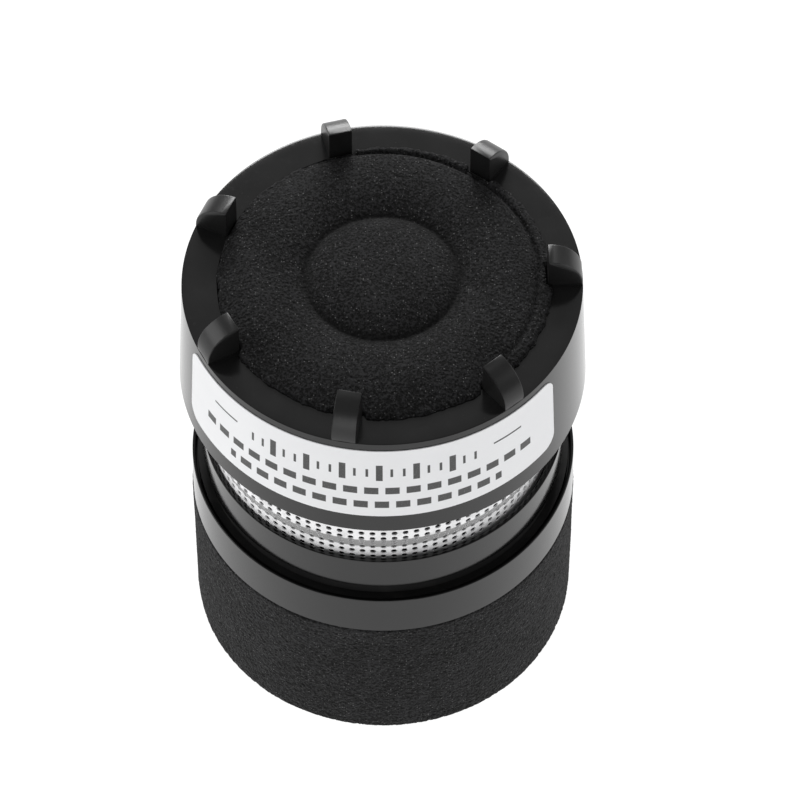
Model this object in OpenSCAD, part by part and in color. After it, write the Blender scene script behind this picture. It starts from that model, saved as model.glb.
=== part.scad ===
// Dynamic (moving-coil) microphone capsule with a clawed front cap, a perforated
// rear-port screen, a rubber-hung transducer and a foam sleeve round the rear chamber.
// Millimetres. The capsule stands on its foam sleeve: z = 0 is the sleeve's lower
// end, +Z points out of the front, and the middle of the label faces about -Y.

/* [Front cap] */
// Wall of the cap's skirt
cap_wall = 1.35; // [1.1:0.05:1.8]
// Length of the cap from its lower edge to its rim
cap_h = 11.4; // [10:0.1:13]
// How much smaller the cap's radius is at the rim than at its lower edge
cap_taper_w = 0.55; // [0.2:0.05:0.7]
// Width of the flat rim round the front foam
rim_w = 2.95; // [2.8:0.05:3.4]
// Rounding of the rim's outer edge
rim_edge = 0.25; // [0.1:0.05:0.4]
// Depth of the foam's seat below the rim
seat_depth = 2.55; // [1.8:0.05:3]
// Thickness of the slotted floor under the foam
grille_t = 1; // [0.8:0.1:1.4]
// Width of the floor's spokes
spoke_w = 1.6; // [1.2:0.1:2.2]
// Number of spokes in the floor
spoke_n = 6; // [4:1:8]

/* [Claws] */
// Number of claws round the rim
claw_n = 7; // [5:1:9]
// Width of a claw
claw_w = 2; // [1.6:0.1:2.6]
// Height of a claw above the rim
claw_h = 3; // [2.8:0.1:3.4]
// Radial depth of a claw
claw_depth = 2.8; // [2.75:0.05:2.85]
// Radius of a claw's outer shoulder
claw_shoulder = 2.7; // [1.6:0.1:2.7]
// Angle of the first claw from +X
claw_start = 1.7; // [0:0.1:50]

/* [Front foam] */
// Height of the foam's top above the rim at its edge
foam_rise = 0.4; // [0.3:0.05:0.6]
// How much higher the foam's top is beside its valley than at its edge
foam_crown = 0.4; // [0.2:0.05:0.6]
// Diameter of the raised middle of the foam
foam_dome_d = 12.5; // [10:0.1:13]
// Height of the raised middle above the rim
foam_dome_h = 1.65; // [1.4:0.05:2]
// Width of the valley round the raised middle
foam_valley_w = 1.1; // [0.8:0.1:2]
// Depth of that valley below the ring round it
foam_valley_depth = 0.3; // [0.1:0.05:0.4]
// How far the foam's edge laps over the rim
foam_lap = 0.3; // [0.1:0.05:0.5]
// Gap between the foam and its seat in the cap
foam_clear = 0.1; // [0.05:0.05:0.3]
// Thickness of the acoustic cloth under the foam
cloth_t = 0.15; // [0.1:0.01:0.2]

/* [Label] */
// Height of the label
label_h = 8.35; // [7:0.05:8.8]
// Angle that the label wraps round the cap
label_wrap = 124.7; // [90:0.1:150]
// Direction that the label's middle faces
label_facing = -96.25; // [-120:0.05:-60]
// Distance from the rim down to the label
label_drop = 0.9; // [0.7:0.05:1.2]
// Thickness of the label
label_t = 0.08; // [0.06:0.01:0.12]
// Corner radius of the label
label_corner = 1.3; // [0.6:0.1:2]

/* [Port screen] */
// Thickness of the perforated sheet
screen_t = 0.2; // [0.15:0.01:0.3]
// How much wider the screen's upper band is than its lower band, on the radius
screen_step = 1.2; // [1:0.05:1.4]
// Length of the screen's narrow lower band
screen_neck_h = 2.1; // [1.8:0.05:2.4]
// Height of the sloping stretch between the bands
screen_slope_h = 2.2; // [1.9:0.05:2.4]
// How far the screen reaches up inside the cap
screen_tuck = 2.6; // [2:0.1:3]
// Diameter of a hole in the screen
screen_hole_d = 1; // [0.7:0.05:1.2]
// Number of holes in each row
screen_hole_n = 40; // [30:1:44]
// Distance between two rows of holes
screen_row_pitch = 1.5; // [1.3:0.05:1.7]

/* [Transducer housing] */
// Wall of the housing's neck
neck_wall = 1.4; // [1.1:0.05:1.8]
// Radial width of the air channel round the magnet pot
channel_w = 1.4; // [1.1:0.05:1.8]
// Thickness of the housing from its lower face to its inner floor
housing_floor = 2.9; // [2.5:0.1:3.4]
// Thickness of the flange at the housing's lower end
flange_t = 2.1; // [1.8:0.05:2.3]
// Width of the open groove between the neck and the collar
groove_w = 0.82; // [0.7:0.02:1]
// Number of port windows in the neck
window_n = 8; // [6:1:10]
// Width of a rib between two windows
window_rib = 2.4; // [1.8:0.1:3]
// Height of a window
window_h = 5; // [4:0.1:5.4]
// Diameter of the vents in the housing's floor
vent_d = 1.1; // [0.8:0.05:1.2]
// Number of vents in the housing's floor
vent_n = 12; // [8:2:12]

/* [Collar and shock mount] */
// Wall of the collar
collar_wall = 0.73; // [0.6:0.01:1]
// Height of the collar
collar_h = 3.5; // [3:0.1:4]
// Open height between the mounting ring and the collar
float_gap = 0.7; // [0.5:0.05:1]
// Open width between the collar and the mounting ring's lip
float_side = 0.45; // [0.35:0.05:0.7]
// Thickness of the rubber web
rubber_t = 0.8; // [0.6:0.05:1]
// Depth of the mounting ring's seat for the rubber below the ring's top
rubber_seat = 1.3; // [1.2:0.05:1.6]

/* [Mounting ring] */
// Height of the mounting ring
ring_h = 4.6; // [4.2:0.1:5.4]
// Width of the ring's upper lip
ring_lip = 0.5; // [0.4:0.05:0.8]
// Thickness of the ring's web under the rubber
ring_web = 1.3; // [1:0.1:1.6]
// Rounding of the outer edges of the ring and the collar
band_edge = 0.12; // [0.05:0.01:0.2]

/* [Rear chamber] */
// Height of the foam sleeve
sleeve_h = 15.1; // [13:0.1:18]
// Wall of the foam sleeve
sleeve_wall = 2.75; // [2:0.05:3]
// How much smaller the sleeve's radius is than the mounting ring's
sleeve_inset = 0.05; // [0.02:0.01:0.2]
// Rounding of the sleeve's lower outer edge
sleeve_edge = 0.5; // [0.2:0.1:1]
// Wall of the rear cup
cup_wall = 1.2; // [0.9:0.05:1.5]
// Height of the rear cup's lower edge above the sleeve's
cup_lift = 0.8; // [0.4:0.1:1.2]
// Thickness of the cup's upper flange
cup_flange_t = 1.2; // [0.8:0.1:1.4]

/* [Terminals] */
// Thickness of the terminal board
board_t = 1.2; // [0.8:0.1:1.6]
// Depth of the board above the cup's lower edge
board_lift = 1.6; // [1.4:0.1:2.2]
// Width of the ledge that the board sits on
board_ledge = 0.8; // [0.6:0.1:1]
// Distance between the two terminals
terminal_gap = 8; // [6:0.1:10]
// Diameter of a terminal's barrel
terminal_d = 1.6; // [1.2:0.1:2]
// Length of a terminal's tail below the board
terminal_tail = 1.4; // [1:0.1:1.4]
// Diameter of a lead with its insulation
lead_d = 0.8; // [0.6:0.05:1]

/* [Motor] */
// Inner diameter of the voice coil
coil_d = 15.8; // [15:0.1:16.6]
// Thickness of the voice coil's winding
coil_t = 0.4; // [0.3:0.02:0.5]
// Height of the voice coil
coil_h = 3.2; // [2.8:0.1:3.4]
// Air gap on each side of the coil
air_gap = 0.3; // [0.25:0.01:0.4]
// Radial width of the outer pole plate
plate_w = 2.3; // [2:0.1:2.6]
// Thickness of the outer pole plate
plate_t = 1.6; // [1.2:0.1:1.8]
// Thickness of the inner pole piece
pole_t = 1.8; // [1.4:0.1:2]
// Height of the magnet
magnet_h = 6.8; // [6:0.1:8]
// How much smaller the magnet's radius is than the pole piece's
magnet_inset = 0.3; // [0.1:0.05:0.5]
// Wall of the magnet pot
pot_wall = 1.3; // [1:0.1:1.6]
// Thickness of the magnet pot's floor
pot_floor = 2; // [1.6:0.1:2.4]

/* [Diaphragm] */
// Height of the diaphragm's seat above the pole plate
seat_gap = 1.7; // [1.5:0.05:2]
// Thickness of the diaphragm's film
film_t = 0.1; // [0.08:0.01:0.12]
// Height of the diaphragm's dome above its seat
dome_rise = 1.2; // [1:0.05:1.3]
// Depth of the ripples in the diaphragm's surround
ripple_h = 0.15; // [0.05:0.01:0.2]
// Number of ripples in the diaphragm's surround
ripple_n = 4; // [2:1:5]
// Width of the clamped edge of the diaphragm
clamp_w = 1; // [0.8:0.05:1.2]
// Thickness of the ring that clamps the diaphragm
clamp_t = 1; // [0.8:0.1:1.4]
// Thickness of the resonator plate
resonator_t = 0.8; // [0.6:0.1:1]
// Rise of the resonator plate's domed middle
resonator_rise = 0.9; // [0.7:0.05:1.2]
// Diameter of a hole in the resonator plate
resonator_hole_d = 1.2; // [0.8:0.1:1.5]
// Thickness of the felt rings
felt_t = 0.4; // [0.3:0.05:0.5]

/* [Hidden] */
$fn = 128;
fit = 0.05;
eps = 0.01;
// how far a cutting shape reaches past what it cuts
cut = 1;
z_axis = [0, 0, 1];

// radii, from the voice coil outwards
coil_r = coil_d / 2;
coil_out_r = coil_r + coil_t;
pole_r = coil_r - air_gap;
plate_hole_r = coil_out_r + air_gap;
pot_r = plate_hole_r + plate_w;
pot_bore_r = pot_r - pot_wall;
magnet_r = pole_r - magnet_inset;
neck_bore_r = pot_r + fit + channel_w;
neck_r = neck_bore_r + neck_wall;
ledge_bore_r = pot_r + fit;
head_r = neck_r + screen_step;
screen_in_r = neck_r + fit;
screen_neck_r = screen_in_r + screen_t;
screen_wide_r = screen_neck_r + screen_step;
flange_r = neck_r + groove_w;
collar_in_r = flange_r + fit;
collar_r = collar_in_r + collar_wall;
skirt_clear = 0.35;
skirt_bore_r = screen_wide_r + skirt_clear;
cap_bore_r = head_r + fit;
cap_low_r = skirt_bore_r + cap_wall;
cap_rim_r = cap_low_r - cap_taper_w;
seat_r = cap_rim_r - rim_w;
foam_r = seat_r - foam_clear;
foam_lip_r = seat_r + foam_lap;
claw_out_r = cap_rim_r - fit;
claw_in_r = claw_out_r - claw_depth;
ring_lip_r = collar_r + float_side;
ring_r = ring_lip_r + ring_lip;
ring_step = 1.3;
ring_recess_r = ring_r - ring_step;
sleeve_r = ring_r - sleeve_inset;
sleeve_bore_r = sleeve_r - sleeve_wall;
cup_r = sleeve_bore_r - fit;
ring_web_inset = 0.4;
ring_web_r = cup_r - ring_web_inset;
cup_bore_r = cup_r - cup_wall;
board_r = cup_bore_r - fit;

// heights, from the sleeve's lower end upwards
ring_z = sleeve_h;
ring_top_z = ring_z + ring_h;
rubber_seat_z = ring_top_z - rubber_seat;
ring_web_z = rubber_seat_z - ring_web;
flange_z = ring_top_z + float_gap;
flange_top_z = flange_z + flange_t;
collar_top_z = flange_z + collar_h;
floor_z = flange_z + housing_floor;
magnet_z = floor_z + pot_floor;
pole_z = magnet_z + magnet_h;
plate_top_z = pole_z + pole_t;
plate_z = plate_top_z - plate_t;
film_z = plate_top_z + seat_gap;
clamp_z = film_z + film_t;
resonator_z = clamp_z + clamp_t;
head_gap = 0.2;
head_top_z = resonator_z + resonator_t + resonator_rise + fit;
grille_z = head_top_z + head_gap;
foam_z = grille_z + grille_t;
rim_z = foam_z + seat_depth;
cap_z = rim_z - cap_h;
screen_z = flange_top_z;
screen_slope_z = screen_z + screen_neck_h;
screen_band_z = screen_slope_z + screen_slope_h;
screen_top_z = cap_z + screen_tuck;
window_sill = 0.4;
window_head = 0.6;
window_z = screen_slope_z + window_sill;
head_z = window_z + window_h + window_head;
board_z = cup_lift + board_lift;
board_top_z = board_z + board_t;

// voice coil and diaphragm
coil_drop = 0.5;
coil_top_z = film_z - coil_drop;
coil_z = coil_top_z - coil_h;
film_dome_inset = 0.1;
film_dome_r = coil_r - film_dome_inset;
coil_seat_w = 0.2;
surround_in_r = coil_out_r + coil_seat_w;
clamp_lap = 0.15;
clamp_out_r = neck_r + clamp_lap;
surround_out_r = neck_bore_r - fit;
clamp_in_r = clamp_out_r - clamp_w;

// leads, each a smooth run from a vent in the housing's floor to its terminal
vent_shift = 0.1;
vent_circle_r = (pot_r + neck_bore_r) / 2 + vent_shift;
lead_r = lead_d / 2;
lead_sides = 8;
lead_rings = 18;
lead_start = 0.3;
lead_reach = 0.8;

// a ring of rectangular section
module ring(r_in, r_out, z, h) {
    translate([0, 0, z]) difference() {
        cylinder(r = r_out, h = h);
        translate([0, 0, -cut]) cylinder(r = r_in, h = h + 2 * cut);
    }
}

// copies of the children, evenly spaced round the axis
module around(count, start = 0) {
    for (k = [0 : count - 1]) rotate(start + k * 360 / count, z_axis) children();
}

// points of an arc, for a section's outline
function arc(centre, r, from, to, steps = 10) = [
    for (k = [0 : steps]) let (a = from + (to - from) * k / steps)
        [centre[0] + r * cos(a), centre[1] + r * sin(a)]
];

// radius of the cap's drafted outer wall at height z
function cap_wall_r(z) = cap_low_r - cap_taper_w * (z - cap_z) / cap_h;

module front_cap() {
    grille_border = 1.6;
    hub_clear = 0.2;
    hub_w = 1.2;
    spoke_outer_r = seat_r - grille_border;
    hub_out_r = foam_dome_d / 2 + hub_clear;
    hub_in_r = hub_out_r - hub_w;
    color([0.07, 0.07, 0.075]) {
        difference() {
            rotate_extrude() polygon(concat(
                [[0, foam_z], [seat_r, foam_z], [seat_r, rim_z]],
                arc([cap_rim_r - rim_edge, rim_z - rim_edge], rim_edge, 90, 0, 5),
                [[cap_low_r, cap_z], [skirt_bore_r, cap_z]],
                [[skirt_bore_r, screen_top_z], [cap_bore_r, screen_top_z]],
                [[cap_bore_r, grille_z], [0, grille_z]]
            ));
            // sound openings between the spokes and inside the hub
            difference() {
                ring(hub_out_r, spoke_outer_r, grille_z - cut, grille_t + 2 * cut);
                spokes(spoke_outer_r);
            }
            difference() {
                translate([0, 0, grille_z - cut]) cylinder(r = hub_in_r, h = grille_t + 2 * cut);
                spokes(hub_in_r);
            }
        }
        around(claw_n, claw_start) claw();
    }
}

// straight bars from the axis outwards, one for each spoke of the cap's floor
module spokes(reach) {
    around(spoke_n) translate([0, -spoke_w / 2, grille_z - 2 * cut])
        cube([reach + cut, spoke_w, grille_t + 4 * cut]);
}

// one claw: a rounded shoulder that rises flush with the cap's wall and ends in an
// upright inner face beside the foam
module claw() {
    root_depth = 0.1;
    root_z = rim_z - rim_edge - root_depth;
    intersection() {
        rotate_extrude() polygon(concat(
            [[claw_in_r, root_z], [claw_out_r, root_z]],
            arc([claw_out_r - claw_shoulder, rim_z + claw_h - claw_shoulder], claw_shoulder, 0, 90, 12),
            [[claw_in_r, rim_z + claw_h]]
        ));
        translate([seat_r - cut, -claw_w / 2, root_z - cut])
            cube([rim_w + 3 * cut, claw_w, claw_h + 3 * cut]);
    }
}

module acoustic_cloth() {
    color([0.12, 0.12, 0.13])
    translate([0, 0, foam_z]) cylinder(r = foam_r, h = cloth_t);
}

// a disc that lies in the cap's seat, laps over the rim and leaves the claws free
module front_foam() {
    dome_r = foam_dome_d / 2;
    dome_power = 3;
    top_z = rim_z + foam_rise;
    valley_z = top_z + foam_crown - foam_valley_depth;
    lip_z = rim_z + fit;
    edge = top_z - lip_z;
    dome = [for (k = [0 : 10]) let (t = k / 10)
        [dome_r * t, valley_z + (rim_z + foam_dome_h - valley_z) * (1 - pow(t, dome_power))]];
    valley = [for (k = [1 : 6]) let (t = k / 6)
        [dome_r + foam_valley_w * t, valley_z + foam_valley_depth * (1 - cos(180 * t)) / 2]];
    color([0.1, 0.1, 0.11])
    difference() {
        rotate_extrude() polygon(concat(
            [[0, foam_z + cloth_t]],
            dome,
            valley,
            arc([foam_lip_r - edge, lip_z], edge, 90, 0, 6),
            [[foam_r, lip_z], [foam_r, foam_z + cloth_t]]
        ));
        around(claw_n, claw_start) translate([claw_in_r - fit, -claw_w / 2 - fit, rim_z])
            cube([claw_depth, claw_w + 2 * fit, claw_h]);
    }
}

module cap_label() {
    top_z = rim_z - label_drop;
    low_z = top_z - label_h;
    start = label_facing - label_wrap / 2;
    color([0.93, 0.93, 0.94])
    difference() {
        rotate(start, z_axis) rotate_extrude(angle = label_wrap) polygon([
            [cap_wall_r(low_z), low_z],
            [cap_wall_r(low_z) + label_t, low_z],
            [cap_wall_r(top_z) + label_t, top_z],
            [cap_wall_r(top_z), top_z]
        ]);
        rotate(start, z_axis) {
            label_corner_cut(low_z, 1, 1);
            label_corner_cut(top_z, 1, -1);
        }
        rotate(start + label_wrap, z_axis) {
            label_corner_cut(low_z, -1, 1);
            label_corner_cut(top_z, -1, -1);
        }
    }
}

// what rounds one corner of the label: side is 1 at its first edge and -1 at its last
module label_corner_cut(z, side, up) {
    centre = label_corner - eps;
    outline = concat(
        [[-cut, -cut], [centre, -cut]],
        arc([centre, centre], label_corner, 270, 180, 6),
        [[-cut, centre]]
    );
    translate([0, 0, z]) rotate([90, 0, 90]) linear_extrude(cap_low_r + 3 * cut)
        polygon([for (p = outline) [side * p[0], up * p[1]]]);
}

module resonator_plate() {
    r_out = clamp_out_r;
    dome_r = surround_in_r;
    flat_share = 0.35;
    inner_hole_n = 8;
    outer_hole_n = 16;
    top = resonator_z + resonator_t;
    hole_h = resonator_t + resonator_rise + 2 * cut;
    color([0.1, 0.1, 0.1])
    difference() {
        rotate_extrude() polygon(concat(
            [[0, resonator_z + resonator_rise]],
            [for (k = [0 : 8]) let (t = k / 8)
                [dome_r * (flat_share + (1 - flat_share) * t), resonator_z + resonator_rise * (1 + cos(180 * t)) / 2]],
            [[r_out, resonator_z], [r_out, top]],
            [for (k = [8 : -1 : 0]) let (t = k / 8)
                [dome_r * (flat_share + (1 - flat_share) * t), top + resonator_rise * (1 + cos(180 * t)) / 2]],
            [[0, top + resonator_rise]]
        ));
        translate([0, 0, resonator_z - cut]) {
            cylinder(d = resonator_hole_d, h = hole_h, $fn = 24);
            around(inner_hole_n) translate([dome_r / 2, 0, 0])
                cylinder(d = resonator_hole_d, h = hole_h, $fn = 24);
            around(outer_hole_n) translate([(dome_r + surround_out_r) / 2, 0, 0])
                cylinder(d = resonator_hole_d, h = hole_h, $fn = 24);
        }
    }
}

module diaphragm_ring() {
    color([0.78, 0.6, 0.25]) ring(clamp_in_r, clamp_out_r, clamp_z, clamp_t);
}

// height of the underside of the film, from the dome's middle to the clamped edge
function film_under(r) =
    r < film_dome_r
        ? coil_top_z + (film_z + dome_rise - coil_top_z) * (1 - pow(r / film_dome_r, 2))
    : r < surround_in_r ? coil_top_z
    : r < surround_out_r
        ? let (t = (r - surround_in_r) / (surround_out_r - surround_in_r))
            coil_top_z + (film_z - coil_top_z) * (1 - cos(180 * t)) / 2
            + ripple_h * sin(360 * ripple_n * t) * sin(180 * t)
    : film_z;

module diaphragm() {
    surround_steps = 32;
    stations = concat(
        [for (k = [0 : 12]) film_dome_r * k / 12],
        [for (k = [0 : surround_steps])
            surround_in_r + (surround_out_r - surround_in_r) * k / surround_steps],
        [clamp_out_r]
    );
    last = len(stations) - 1;
    color([0.85, 0.8, 0.6])
    rotate_extrude() polygon(concat(
        [for (k = [0 : last]) [stations[k], film_under(stations[k])]],
        [for (k = [last : -1 : 0]) [stations[k], film_under(stations[k]) + film_t]]
    ));
}

module voice_coil() {
    color([0.72, 0.4, 0.2]) ring(coil_r, coil_out_r, coil_z, coil_h);
}

module pole_plate() {
    color([0.6, 0.61, 0.63]) ring(plate_hole_r, pot_r, plate_z, plate_t);
}

module pole_piece() {
    color([0.6, 0.61, 0.63]) translate([0, 0, pole_z]) cylinder(r = pole_r, h = pole_t);
}

module magnet() {
    color([0.45, 0.45, 0.47]) translate([0, 0, magnet_z]) cylinder(r = magnet_r, h = magnet_h);
}

module magnet_pot() {
    color([0.6, 0.61, 0.63]) difference() {
        translate([0, 0, floor_z]) cylinder(r = pot_r, h = plate_z - floor_z);
        translate([0, 0, magnet_z]) cylinder(r = pot_bore_r, h = plate_z);
    }
}

module damping_felt() {
    gap_clear = 0.5;
    color([0.5, 0.48, 0.44]) ring(plate_hole_r + gap_clear, neck_bore_r, plate_top_z, felt_t);
}

module transducer_housing() {
    clamp_seat_r = clamp_out_r + fit;
    channel_step = 360 / vent_n;
    rib_w = 1;
    well_border = 2;
    slot_share = 0.7;
    color([0.13, 0.13, 0.14]) difference() {
        union() {
            rotate_extrude() polygon([
                [0, flange_z], [flange_r, flange_z], [flange_r, flange_top_z],
                [neck_r, flange_top_z], [neck_r, head_z], [head_r, head_z],
                [head_r, head_top_z], [clamp_seat_r, head_top_z], [clamp_seat_r, film_z],
                [neck_bore_r + fit, film_z], [neck_bore_r + fit, plate_top_z],
                [ledge_bore_r, plate_top_z], [ledge_bore_r, plate_z],
                [neck_bore_r, plate_z], [neck_bore_r, floor_z], [0, floor_z]
            ]);
            // ribs that centre the magnet pot in the air channel
            around(4, channel_step / 2) translate([ledge_bore_r, -rib_w / 2, floor_z - eps])
                cube([neck_bore_r - ledge_bore_r + neck_wall / 2, rib_w, plate_z - floor_z]);
        }
        // port windows behind the screen
        around(window_n) intersection() {
            ring(neck_bore_r - cut, neck_r + cut, window_z, window_h);
            window_opening();
        }
        // slots through the ledge, from the channel to the back of the diaphragm
        around(vent_n) translate([(ledge_bore_r + neck_bore_r) / 2, 0, plate_z - cut])
            cylinder(d = channel_w * slot_share, h = plate_t + 2 * cut, $fn = 32);
        // vents and lead holes through the floor
        around(vent_n) translate([vent_circle_r, 0, flange_z - cut])
            cylinder(d = vent_d, h = housing_floor + 2 * cut, $fn = 32);
        // shallow well under the floor
        translate([0, 0, flange_z - cut])
            cylinder(r = pot_r - well_border, h = cut + housing_floor / 2);
    }
}

// wedge between two of the neck's ribs
module window_opening() {
    half = 180 / window_n;
    far = 2 * neck_r;
    rotate(half, z_axis) linear_extrude(window_z + window_h + cut) difference() {
        polygon([[0, 0], [far, -far * tan(half)], [far, far * tan(half)]]);
        for (side = [-1, 1]) rotate(side * half) translate([0, -window_rib / 2])
            square([2 * far, window_rib]);
    }
}

module port_cloth() {
    cloth_r = neck_r + 2 * eps;
    lap = 0.1;
    color([0.05, 0.05, 0.05])
    ring(cloth_r, cloth_r + cloth_t, window_z - lap, head_z - window_z);
}

module port_screen() {
    wide_in_r = screen_wide_r - screen_t;
    row_shift = 0.35 * screen_row_pitch;
    rows = [
        screen_band_z + screen_row_pitch + row_shift,
        screen_band_z + row_shift,
        (screen_slope_z + screen_band_z) / 2 - row_shift
    ];
    color([0.8, 0.81, 0.83]) difference() {
        rotate_extrude() polygon([
            [screen_in_r, screen_z], [screen_neck_r, screen_z],
            [screen_neck_r, screen_slope_z], [screen_wide_r, screen_band_z],
            [screen_wide_r, screen_top_z], [wide_in_r, screen_top_z],
            [wide_in_r, screen_band_z + screen_t / 3], [screen_in_r, screen_slope_z + screen_t / 3]
        ]);
        for (row = [0 : 2]) around(screen_hole_n, row * 180 / screen_hole_n)
            translate([screen_in_r - cut, 0, rows[row]]) rotate([0, 90, 0])
                cylinder(d = screen_hole_d, h = screen_step + 3 * cut, $fn = 20);
    }
}

module collar() {
    color([0.09, 0.09, 0.095]) rotate_extrude() polygon(concat(
        [[collar_in_r, flange_z]],
        arc([collar_r - band_edge, flange_z + band_edge], band_edge, -90, 0, 3),
        arc([collar_r - band_edge, collar_top_z - band_edge], band_edge, 0, 90, 3),
        [[collar_in_r, collar_top_z]]
    ));
}

// a web on the mounting ring that rolls inwards and up to the housing's flange
module shock_mount() {
    outer_r = ring_lip_r - fit;
    foot_clear = 0.1;
    seat_clear = 0.35;
    roll_inset = 0.2;
    foot_r = cup_r + foot_clear;
    inner_r = neck_bore_r + seat_clear;
    roll_r = flange_r - roll_inset;
    roll_w = 0.7;
    roll_lift = 0.25;
    slant = 0.1;
    color([0.04, 0.04, 0.04]) rotate_extrude() polygon([
        [foot_r, rubber_seat_z], [outer_r, rubber_seat_z],
        [outer_r, rubber_seat_z + rubber_t], [roll_r + roll_w, rubber_seat_z + rubber_t],
        [roll_r + slant, flange_z - roll_w / 2], [roll_r, flange_z], [inner_r, flange_z],
        [inner_r, flange_z - rubber_t], [roll_r - roll_w - 2 * slant, flange_z - rubber_t],
        [roll_r - roll_w, rubber_seat_z + roll_lift]
    ]);
}

module mounting_ring() {
    color([0.09, 0.09, 0.095]) rotate_extrude() polygon(concat(
        [[ring_lip_r, rubber_seat_z]],
        [[ring_lip_r, ring_top_z]],
        arc([ring_r - band_edge, ring_top_z - band_edge], band_edge, 90, 0, 3),
        arc([ring_r - band_edge, ring_z + band_edge], band_edge, 0, -90, 3),
        [[ring_recess_r, ring_z], [ring_recess_r, ring_web_z], [ring_web_r, ring_web_z]],
        [[ring_web_r, rubber_seat_z]]
    ));
}

module rear_felt() {
    inner_lap = 1.8;
    outer_lap = 0.3;
    lead_clear = 0.4;
    color([0.5, 0.48, 0.44]) difference() {
        ring(pot_r - inner_lap, neck_bore_r + outer_lap, flange_z - felt_t, felt_t);
        for (side = [-1, 1]) translate([side * vent_circle_r, 0, flange_z - felt_t - cut])
            cylinder(d = lead_d + lead_clear, h = felt_t + 2 * cut, $fn = 32);
    }
}

module rear_cup() {
    flange_out_r = ring_recess_r - fit;
    ledge_z = board_top_z;
    ledge_t = 0.8;
    color([0.1, 0.1, 0.105]) rotate_extrude() polygon([
        [cup_bore_r, cup_lift], [cup_r, cup_lift], [cup_r, ring_web_z - cup_flange_t],
        [flange_out_r, ring_web_z - cup_flange_t], [flange_out_r, ring_web_z],
        [cup_bore_r, ring_web_z], [cup_bore_r, ledge_z + 2 * ledge_t],
        [cup_bore_r - board_ledge, ledge_z + ledge_t], [cup_bore_r - board_ledge, ledge_z],
        [cup_bore_r, ledge_z]
    ]);
}

module foam_sleeve() {
    color([0.11, 0.11, 0.12]) rotate_extrude() polygon(concat(
        [[sleeve_bore_r, sleeve_h]],
        [[sleeve_bore_r, 0]],
        arc([sleeve_r - sleeve_edge, sleeve_edge], sleeve_edge, -90, 0, 5),
        [[sleeve_r, sleeve_h]]
    ));
}

module terminal_board() {
    color([0.35, 0.22, 0.12]) difference() {
        translate([0, 0, board_z]) cylinder(r = board_r, h = board_t);
        for (side = [-1, 1]) translate([side * terminal_gap / 2, 0, board_z - cut])
            cylinder(d = terminal_d, h = board_t + 2 * cut, $fn = 48);
    }
}

// a turned solder pin: barrel through the board, a head on each face and a waisted tail
module terminal(side) {
    head_w = 0.5;
    head_t = 0.3;
    waist = 0.25;
    taper_h = 0.1;
    tip_h = 0.35;
    pin_r = terminal_d / 2;
    head_r = pin_r + head_w;
    low = board_z - terminal_tail;
    color([0.85, 0.72, 0.4])
    translate([side * terminal_gap / 2, 0, 0]) rotate_extrude($fn = 48) polygon([
        [0, low], [pin_r, low], [pin_r, low + tip_h], [pin_r - waist, low + tip_h + taper_h],
        [pin_r - waist, board_z - head_t - taper_h], [head_r, board_z - head_t], [head_r, board_z],
        [pin_r - fit, board_z], [pin_r - fit, board_top_z], [head_r, board_top_z],
        [head_r, board_top_z + head_t], [0, board_top_z + head_t]
    ]);
}

// centre of a lead at share t of its run, from its terminal up to its vent
function lead_point(side, t) =
    let (ease = (1 - cos(180 * t)) / 2, start_z = board_top_z + lead_start,
         end_z = flange_z + lead_reach)
    [side * (terminal_gap / 2 + (vent_circle_r - terminal_gap / 2) * ease), 0,
     start_z + (end_z - start_z) * t];

// a tube swept along the lead's run: every ring is level, because the run is steep
module lead(side) {
    points = [for (k = [0 : lead_rings]) let (c = lead_point(side, k / lead_rings))
        for (j = [0 : lead_sides - 1])
            c + lead_r * [cos(360 * j / lead_sides), sin(360 * j / lead_sides), 0]];
    walls = [for (k = [0 : lead_rings - 1]) for (j = [0 : lead_sides - 1])
        let (a = k * lead_sides + j, b = k * lead_sides + (j + 1) % lead_sides)
        [a, a + lead_sides, b + lead_sides, b]];
    lower_end = [for (j = [0 : lead_sides - 1]) j];
    upper_end = [for (j = [lead_sides - 1 : -1 : 0]) lead_rings * lead_sides + j];
    color(side > 0 ? [0.75, 0.1, 0.08] : [0.1, 0.1, 0.1])
    polyhedron(points, concat(walls, [lower_end, upper_end]));
}

front_cap();
front_foam();
acoustic_cloth();
cap_label();
resonator_plate();
diaphragm_ring();
diaphragm();
voice_coil();
pole_plate();
pole_piece();
magnet();
magnet_pot();
damping_felt();
transducer_housing();
port_cloth();
port_screen();
collar();
shock_mount();
mounting_ring();
rear_felt();
rear_cup();
foam_sleeve();
terminal_board();
terminal(1);  // terminal_plus
terminal(-1);  // terminal_minus
lead(1);  // lead_plus
lead(-1);  // lead_minus
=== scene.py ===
import itertools
import math

import bmesh
import bpy
import numpy as np
from mathutils import Matrix, Vector


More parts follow.
